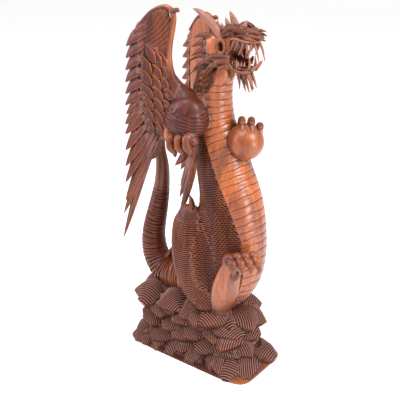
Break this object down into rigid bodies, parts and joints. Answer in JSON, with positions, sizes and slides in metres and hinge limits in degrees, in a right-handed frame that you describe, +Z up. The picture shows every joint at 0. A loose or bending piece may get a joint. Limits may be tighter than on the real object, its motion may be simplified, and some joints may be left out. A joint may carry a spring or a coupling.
{
  "type": "carved wooden dragon statue",
  "caption": "Carved wooden winged dragon sitting upright on a rocky plinth, wings raised, jaws open, one forefoot holding an orb to its chest.",
  "frame": {"origin": "middle of the plinth's underside", "axes": "+Z up, +X the way the dragon faces, +Y its left side"},
  "size_m": [0.4836, 0.2755, 1.0244],
  "materials": {
    "wood_red": "satin",
    "wood_dark": "satin"
  },
  "bodies": {
    "root": {"rock_plinth": "wood_dark", "torso": "wood_red", "tail": "wood_red", "head": "wood_red", "right_wing": "wood_red", "left_wing": "wood_red"}
  },
  "joints": []
}
